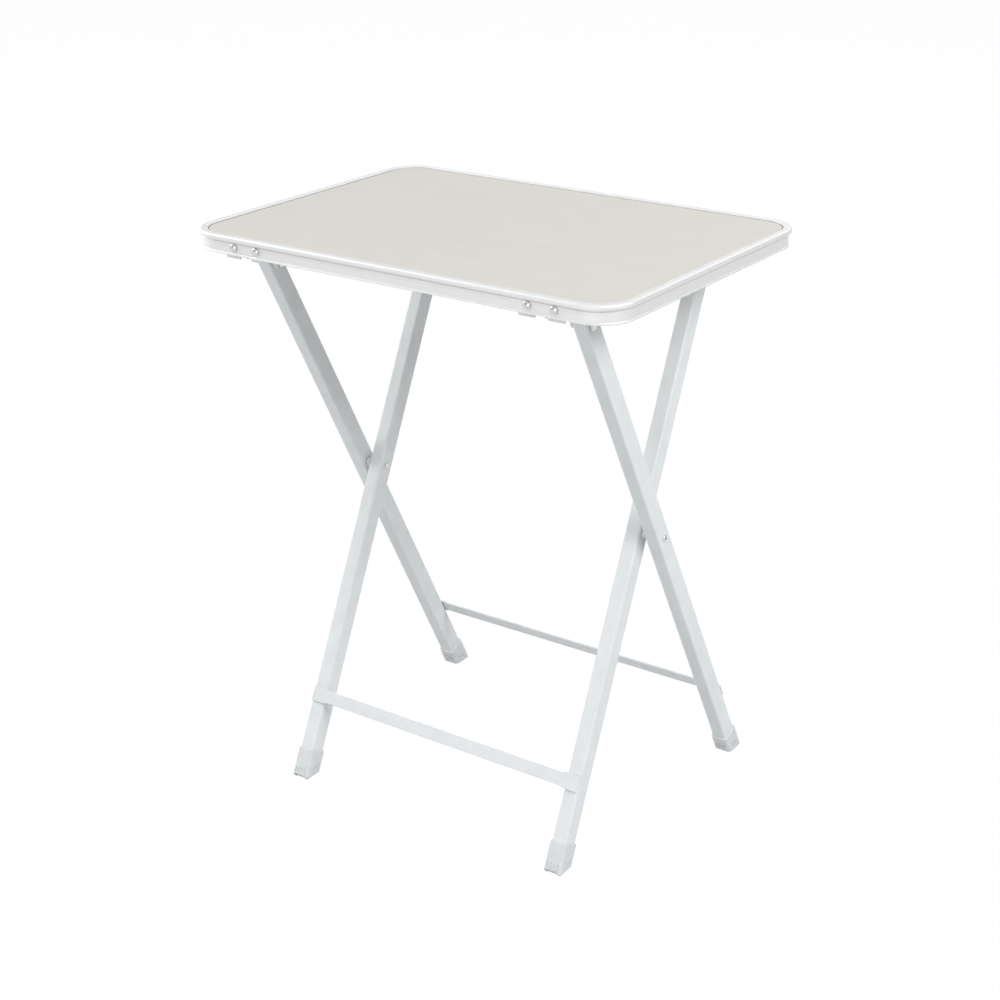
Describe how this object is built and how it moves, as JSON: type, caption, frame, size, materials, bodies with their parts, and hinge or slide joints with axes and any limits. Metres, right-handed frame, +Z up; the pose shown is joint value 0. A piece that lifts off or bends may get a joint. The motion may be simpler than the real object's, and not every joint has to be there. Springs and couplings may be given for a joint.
{
  "type": "camping table",
  "caption": "Folding camping table with a rimmed rectangular top on crossed tube legs; the top tips up off a rest rod and the leg frames close against each other",
  "frame": {"origin": "on the floor, under the middle of the top (the back feet reach 2.3 mm past the top's edge, so the box's own middle lies 1.2 mm behind it)", "axes": "+Z up; X along the long side of the top; +Y from the hinged front edge towards the back edge that rests on the rod"},
  "size_m": [0.53, 0.3823, 0.64],
  "materials": {
    "laminate": "ivory melamine laminate on thin fibreboard, matte",
    "aluminium": "extruded, satin anodised",
    "paint": "pale grey powder coat on steel, satin",
    "plastic": "light grey moulded polypropylene",
    "plated": "zinc plated, bright",
    "nylon": "white nylon"
  },
  "bodies": {
    "outer_frame": {"outer_leg_left": "paint", "outer_leg_right": "paint", "outer_leg_plug_left": "plastic", "outer_leg_plug_right": "plastic", "outer_foot_left": "plastic", "outer_foot_right": "plastic", "outer_cross_bar": "paint", "pivot_rivet_left": "plated", "pivot_rivet_right": "plated", "pivot_spacer_left": "nylon", "pivot_spacer_right": "nylon", "hinge_pin_left": "plated", "hinge_pin_right": "plated", "hinge_washer_left": "nylon", "hinge_washer_right": "nylon"},
    "inner_frame": {"inner_leg_left": "paint", "inner_leg_right": "paint", "inner_leg_plug_left": "plastic", "inner_leg_plug_right": "plastic", "inner_foot_left": "plastic", "inner_foot_right": "plastic", "rest_rod": "paint", "inner_cross_bar": "paint"},
    "tabletop": {"top_panel": "laminate", "edge_rim": "aluminium", "hinge_bracket_left": "paint", "hinge_bracket_right": "paint", "rest_bracket_left": "paint", "rest_bracket_right": "paint", "hinge_rivet_left_outer": "plated", "hinge_rivet_left_inner": "plated", "hinge_rivet_right_outer": "plated", "hinge_rivet_right_inner": "plated", "rest_rivet_left_outer": "plated", "rest_rivet_left_inner": "plated", "rest_rivet_right_outer": "plated", "rest_rivet_right_inner": "plated"}
  },
  "joints": [
    {"name": "top_hinge", "type": "hinge", "parent": "outer_frame", "child": "tabletop", "pos_m": [0, -0.132, 0.601], "axis": [1, 0, 0], "range_deg": [0, 120]},
    {"name": "leg_pivot", "type": "hinge", "parent": "outer_frame", "child": "inner_frame", "pos_m": [0, 0.00899, 0.33054], "axis": [1, 0, 0], "range_deg": [0, 52.2]}
  ]
}
